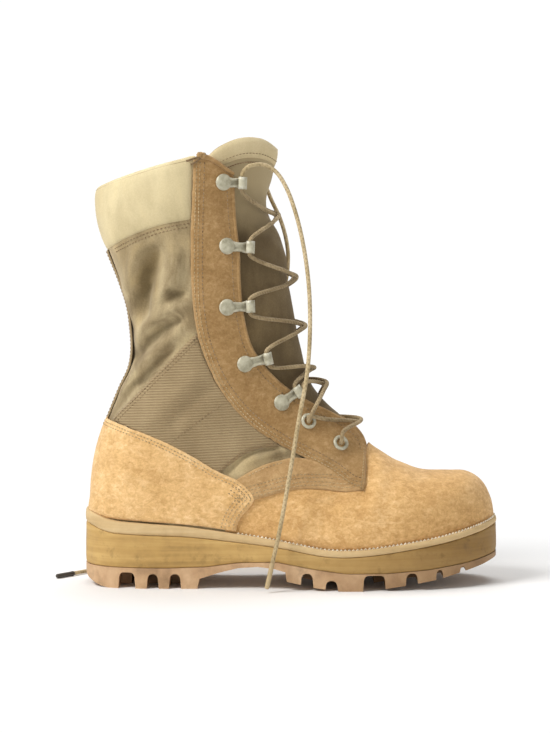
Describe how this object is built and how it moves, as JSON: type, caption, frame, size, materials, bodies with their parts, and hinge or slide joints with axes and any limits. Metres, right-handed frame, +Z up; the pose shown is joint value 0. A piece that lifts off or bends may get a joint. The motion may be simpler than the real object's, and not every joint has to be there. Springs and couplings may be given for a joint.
{
  "type": "combat boot",
  "caption": "Right desert combat boot with suede vamp, counter and eyestays, nylon shaft, padded collar, speed hooks, loose laces and a lugged welted sole.",
  "frame": {"origin": "middle of the boot's bounding box on the floor, measured without the free lace ends", "axes": "+X towards the toe, +Y towards the inner (medial) side, +Z up"},
  "size_m": [0.3274, 0.119, 0.325],
  "materials": {
    "tread": "moulded pinkish tan rubber, matt",
    "midsole": "yellow-tan cushioned sole wedge with faint lengthwise streaks",
    "welt": "light tan welt, stitched",
    "footbed": "cloth-covered footbed",
    "suede": "rough-out suede, nappy, golden tan",
    "nylon": "woven nylon, khaki",
    "tongue": "woven nylon in a darker olive brown",
    "painted_hardware": "pale grey-khaki paint, satin, lightly worn",
    "lace": "braided round lace",
    "aglet": "dark lace tip"
  },
  "bodies": {
    "root": {"outsole": "tread", "midsole": "midsole", "welt": "welt", "insole": "footbed", "upper": "suede", "collar": "nylon", "heel_counter": "suede", "backstay": "nylon", "eyestay_lateral": "suede", "vamp_strap_lateral": "suede", "hook_lateral_1": "painted_hardware", "hook_lateral_2": "painted_hardware", "hook_lateral_3": "painted_hardware", "hook_lateral_4": "painted_hardware", "hook_lateral_5": "painted_hardware", "eyelet_lateral_1": "painted_hardware", "eyelet_lateral_2": "painted_hardware", "eyestay_medial": "suede", "vamp_strap_medial": "suede", "hook_medial_1": "painted_hardware", "hook_medial_2": "painted_hardware", "hook_medial_3": "painted_hardware", "hook_medial_4": "painted_hardware", "hook_medial_5": "painted_hardware", "eyelet_medial_1": "painted_hardware", "eyelet_medial_2": "painted_hardware", "tongue": "tongue", "lace_crossings": "lace", "lace_end_near": "lace", "lace_end_far": "lace", "aglet_near": "aglet", "aglet_far": "aglet"}
  },
  "joints": []
}
